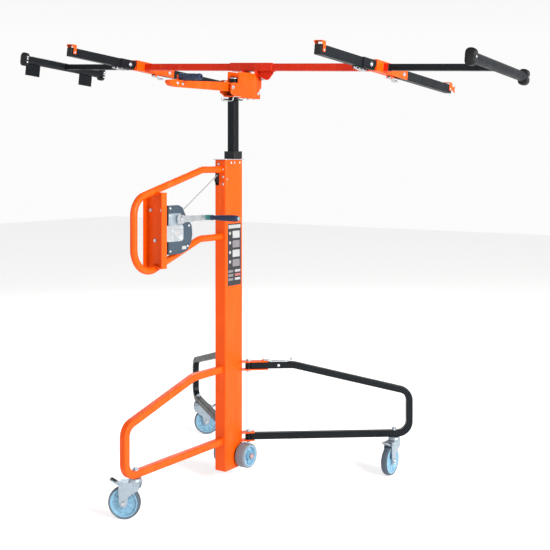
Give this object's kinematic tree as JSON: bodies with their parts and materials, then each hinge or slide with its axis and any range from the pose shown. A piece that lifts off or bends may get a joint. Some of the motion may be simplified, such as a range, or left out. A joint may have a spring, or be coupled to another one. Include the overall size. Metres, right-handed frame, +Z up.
{
  "type": "drywall lift",
  "caption": "Drywall lift: telescoping orange mast on a folding caster base, with a hand winch on a hoop and a tilting cradle of beams, hooked arms and end bars.",
  "frame": {"origin": "on the floor, on the axis of the orange mast", "axes": "+X along the cradle's main beam, -Y towards the operator and winch, +Z up"},
  "size_m": [2.3423, 1.5022, 1.8687],
  "materials": {
    "orange_paint": "gloss",
    "red_orange_paint": "satin",
    "black_paint": "satin",
    "slate_cover": "satin",
    "zinc": "zinc plated",
    "black_plastic": "matte",
    "grey_tyre": "matte",
    "black_grip": "matte",
    "steel_cable": "stranded"
  },
  "bodies": {
    "chassis": {"mast_tube": "orange_paint", "mast_cap_plate": "black_paint", "mast_guide_block": "black_plastic", "frame_axles": "zinc", "front_leg": "orange_paint", "leg_hinge_brackets": "orange_paint", "frame_bolts": "zinc", "winch_hoop": "orange_paint", "winch_channel": "orange_paint", "winch_frame": "zinc", "winch_bolts": "zinc", "winch_cover": "slate_cover", "winch_cable": "steel_cable"},
    "mast_pulley": {"mast_pulley": "black_plastic"},
    "stage_2": {"stage_2_tube": "black_paint", "stage_2_guides": "black_plastic"},
    "stage_3": {"stage_3_tube": "black_paint", "swivel_spindle": "black_paint"},
    "winch_drum": {"winch_drum": "zinc"},
    "winch_crank": {"winch_crank": "zinc"},
    "crank_grip": {"crank_grip": "black_grip"},
    "head": {"head_bracket": "orange_paint", "tilt_pivot_bolt": "zinc"},
    "tilt_lever": {"tilt_lever": "orange_paint", "lever_grip": "black_grip"},
    "cradle": {"beam_sleeve": "orange_paint", "beam_tubes": "red_orange_paint", "cross_pieces": "orange_paint", "arm_bolts": "zinc"},
    "leg_left": {"leg_left": "black_paint"},
    "leg_lock_left": {"leg_lock_left": "zinc"},
    "truck_wheel_left": {"truck_wheel_left": "black_plastic"},
    "leg_right": {"leg_right": "black_paint"},
    "leg_lock_right": {"leg_lock_right": "zinc"},
    "truck_wheel_right": {"truck_wheel_right": "black_plastic"},
    "caster_front": {"caster_fork_front": "zinc"},
    "caster_wheel_front": {"caster_wheel_front": "grey_tyre"},
    "caster_pedal_front": {"caster_pedal_front": "black_plastic"},
    "caster_left": {"caster_fork_left": "zinc"},
    "caster_wheel_left": {"caster_wheel_left": "grey_tyre"},
    "caster_pedal_left": {"caster_pedal_left": "black_plastic"},
    "caster_right": {"caster_fork_right": "zinc"},
    "caster_wheel_right": {"caster_wheel_right": "grey_tyre"},
    "caster_pedal_right": {"caster_pedal_right": "black_plastic"},
    "arm_near_left": {"arm_near_left": "black_paint"},
    "hook_near_left": {"hook_near_left": "orange_paint"},
    "catch_near_left": {"catch_near_left": "zinc"},
    "arm_far_left": {"arm_far_left": "black_paint"},
    "hook_far_left": {"hook_far_left": "orange_paint"},
    "catch_far_left": {"catch_far_left": "zinc"},
    "end_bar_left": {"end_bar_left": "black_paint", "bumper_caps_left": "black_plastic"},
    "arm_near_right": {"arm_near_right": "black_paint"},
    "hook_near_right": {"hook_near_right": "orange_paint"},
    "catch_near_right": {"catch_near_right": "zinc"},
    "arm_far_right": {"arm_far_right": "black_paint"},
    "hook_far_right": {"hook_far_right": "orange_paint"},
    "catch_far_right": {"catch_far_right": "zinc"},
    "end_bar_right": {"end_bar_right": "black_paint", "bumper_caps_right": "black_plastic"}
  },
  "joints": [
    {"name": "stage_2_lift", "type": "slide", "parent": "chassis", "child": "stage_2", "axis": [0, 0, 1], "range_m": [0, 0.8]},
    {"name": "stage_3_lift", "type": "slide", "parent": "stage_2", "child": "stage_3", "axis": [0, 0, 1], "range_m": [0, 0.8]},
    {"name": "drum_turn", "type": "hinge", "parent": "chassis", "child": "winch_drum", "pos_m": [0, -0.385, 1.048], "axis": [1, 0, 0], "range_deg": [0, 1339]},
    {"name": "crank_turn", "type": "hinge", "parent": "chassis", "child": "winch_crank", "pos_m": [0, -0.385, 1.12], "axis": [1, 0, 0], "range_deg": [-3677, 0]},
    {"name": "pulley_turn", "type": "hinge", "parent": "chassis", "child": "mast_pulley", "pos_m": [0, -0.048, 1.27], "axis": [1, 0, 0], "range_deg": [0, 2206]},
    {"name": "grip_spin", "type": "hinge", "parent": "winch_crank", "child": "crank_grip", "pos_m": [0, -0.222, 1.12], "axis": [1, 0, 0], "continuous": true},
    {"name": "leg_fold_left", "type": "hinge", "parent": "chassis", "child": "leg_left", "pos_m": [-0.046, 0.079, 0.17], "axis": [0, 0, 1], "range_deg": [0, 105]},
    {"name": "leg_lock_lift_left", "type": "hinge", "parent": "chassis", "child": "leg_lock_left", "pos_m": [-0.09466, 0.11743, 0.4941], "axis": [0.6198, 0.7848, 0], "range_deg": [0, 35]},
    {"name": "truck_wheel_spin_left", "type": "hinge", "parent": "chassis", "child": "truck_wheel_left", "pos_m": [-0.057, 0.045, 0.097], "axis": [1, 0, 0], "continuous": true},
    {"name": "leg_fold_right", "type": "hinge", "parent": "chassis", "child": "leg_right", "pos_m": [0.046, 0.079, 0.17], "axis": [0, 0, -1], "range_deg": [0, 105]},
    {"name": "leg_lock_lift_right", "type": "hinge", "parent": "chassis", "child": "leg_lock_right", "pos_m": [0.09466, 0.11743, 0.4941], "axis": [0.6198, -0.7848, 0], "range_deg": [0, 35]},
    {"name": "truck_wheel_spin_right", "type": "hinge", "parent": "chassis", "child": "truck_wheel_right", "pos_m": [0.057, 0.045, 0.097], "axis": [1, 0, 0], "continuous": true},
    {"name": "caster_swivel_front", "type": "hinge", "parent": "chassis", "child": "caster_front", "pos_m": [0, -0.584, 0.15], "axis": [0, 0, 1], "continuous": true},
    {"name": "caster_spin_front", "type": "hinge", "parent": "caster_front", "child": "caster_wheel_front", "pos_m": [-0.03653, -0.60261, 0.0625], "axis": [0.454, -0.891, 0], "continuous": true},
    {"name": "brake_pedal_front", "type": "hinge", "parent": "caster_front", "child": "caster_pedal_front", "pos_m": [-0.04811, -0.60852, 0.133], "axis": [0.454, -0.891, 0], "range_deg": [0, 12]},
    {"name": "caster_swivel_left", "type": "hinge", "parent": "leg_left", "child": "caster_left", "pos_m": [-0.54041, 0.46946, 0.15], "axis": [0, 0, 1], "continuous": true},
    {"name": "caster_spin_left", "type": "hinge", "parent": "caster_left", "child": "caster_wheel_left", "pos_m": [-0.50642, 0.49239, 0.0625], "axis": [-0.5592, 0.829, 0], "continuous": true},
    {"name": "brake_pedal_left", "type": "hinge", "parent": "caster_left", "child": "caster_pedal_left", "pos_m": [-0.49564, 0.49966, 0.133], "axis": [-0.5592, 0.829, 0], "range_deg": [0, 12]},
    {"name": "caster_swivel_right", "type": "hinge", "parent": "leg_right", "child": "caster_right", "pos_m": [0.54041, 0.46946, 0.15], "axis": [0, 0, 1], "continuous": true},
    {"name": "caster_spin_right", "type": "hinge", "parent": "caster_right", "child": "caster_wheel_right", "pos_m": [0.54184, 0.42849, 0.0625], "axis": [0.9994, 0.0349, 0], "continuous": true},
    {"name": "brake_pedal_right", "type": "hinge", "parent": "caster_right", "child": "caster_pedal_right", "pos_m": [0.54229, 0.41549, 0.133], "axis": [0.9994, 0.0349, 0], "range_deg": [0, 12]},
    {"name": "head_swivel", "type": "hinge", "parent": "stage_3", "child": "head", "pos_m": [0, 0.031, 1.618], "axis": [0.0523, 0, 0.9986], "continuous": true},
    {"name": "cradle_tilt", "type": "hinge", "parent": "head", "child": "cradle", "pos_m": [0.00508, 0.179, 1.71487], "axis": [-0.9986, 0, 0.0523], "range_deg": [-4.1, 75]},
    {"name": "tilt_lever_lift", "type": "hinge", "parent": "head", "child": "tilt_lever", "pos_m": [0.0022, -0.013, 1.65994], "axis": [-0.9986, 0, 0.0523], "range_deg": [0, 16]},
    {"name": "arm_fold_near_left", "type": "hinge", "parent": "cradle", "child": "arm_near_left", "pos_m": [-0.62668, 0.04991, 1.79338], "axis": [0.9986, 0, -0.0523], "range_deg": [0, 90]},
    {"name": "arm_fold_far_left", "type": "hinge", "parent": "cradle", "child": "arm_far_left", "pos_m": [-0.62773, 0.3292, 1.77339], "axis": [-0.9986, 0, 0.0523], "range_deg": [0, 90]},
    {"name": "hook_fold_near_left", "type": "hinge", "parent": "arm_near_left", "child": "hook_near_left", "pos_m": [-0.62536, -0.30119, 1.81852], "axis": [0.9986, 0, -0.0523], "range_deg": [0, 85], "stiffness_Nm_per_rad": 0.3, "springref_deg": -14.32},
    {"name": "hook_fold_far_left", "type": "hinge", "parent": "arm_far_left", "child": "hook_far_left", "pos_m": [-0.62947, 0.794, 1.74012], "axis": [-0.9986, 0, 0.0523], "range_deg": [0, 80], "stiffness_Nm_per_rad": 0.3, "springref_deg": -20.05},
    {"name": "catch_press_near_left", "type": "hinge", "parent": "arm_near_left", "child": "catch_near_left", "pos_m": [-0.62766, -0.03766, 1.77462], "axis": [-0.9986, 0, 0.0523], "range_deg": [0, 12], "stiffness_Nm_per_rad": 0.5, "springref_deg": -11.46},
    {"name": "catch_press_far_left", "type": "hinge", "parent": "cradle", "child": "catch_far_left", "pos_m": [-0.6287, 0.23963, 1.75477], "axis": [-0.9986, 0, 0.0523], "range_deg": [0, 12], "stiffness_Nm_per_rad": 0.5, "springref_deg": -11.46},
    {"name": "end_bar_slide_left", "type": "slide", "parent": "cradle", "child": "end_bar_left", "axis": [-0.9986, 0, 0.0523], "range_m": [-0.36, 0.18]},
    {"name": "arm_fold_near_right", "type": "hinge", "parent": "cradle", "child": "arm_near_right", "pos_m": [0.64158, 0.04991, 1.72692], "axis": [0.9986, 0, -0.0523], "range_deg": [0, 90]},
    {"name": "arm_fold_far_right", "type": "hinge", "parent": "cradle", "child": "arm_far_right", "pos_m": [0.64053, 0.3292, 1.70693], "axis": [-0.9986, 0, 0.0523], "range_deg": [0, 90]},
    {"name": "hook_fold_near_right", "type": "hinge", "parent": "arm_near_right", "child": "hook_near_right", "pos_m": [0.6429, -0.30119, 1.75205], "axis": [0.9986, 0, -0.0523], "range_deg": [0, 85], "stiffness_Nm_per_rad": 0.3, "springref_deg": -14.32},
    {"name": "hook_fold_far_right", "type": "hinge", "parent": "arm_far_right", "child": "hook_far_right", "pos_m": [0.63879, 0.794, 1.67365], "axis": [-0.9986, 0, 0.0523], "range_deg": [0, 80], "stiffness_Nm_per_rad": 0.3, "springref_deg": -20.05},
    {"name": "catch_press_near_right", "type": "hinge", "parent": "arm_near_right", "child": "catch_near_right", "pos_m": [0.6406, -0.03766, 1.70816], "axis": [-0.9986, 0, 0.0523], "range_deg": [0, 12], "stiffness_Nm_per_rad": 0.5, "springref_deg": -11.46},
    {"name": "catch_press_far_right", "type": "hinge", "parent": "cradle", "child": "catch_far_right", "pos_m": [0.63956, 0.23963, 1.68831], "axis": [-0.9986, 0, 0.0523], "range_deg": [0, 12], "stiffness_Nm_per_rad": 0.5, "springref_deg": -11.46},
    {"name": "end_bar_slide_right", "type": "slide", "parent": "cradle", "child": "end_bar_right", "axis": [0.9986, 0, -0.0523], "range_m": [-0.36, 0.18]}
  ],
  "couplings": [
    {"joint": "stage_3_lift", "follows": "stage_2_lift", "ratio": 1},
    {"joint": "drum_turn", "follows": "stage_2_lift", "rad_per_m": 29.154},
    {"joint": "crank_turn", "follows": "stage_2_lift", "rad_per_m": -80.175},
    {"joint": "pulley_turn", "follows": "stage_2_lift", "rad_per_m": 48.077}
  ]
}
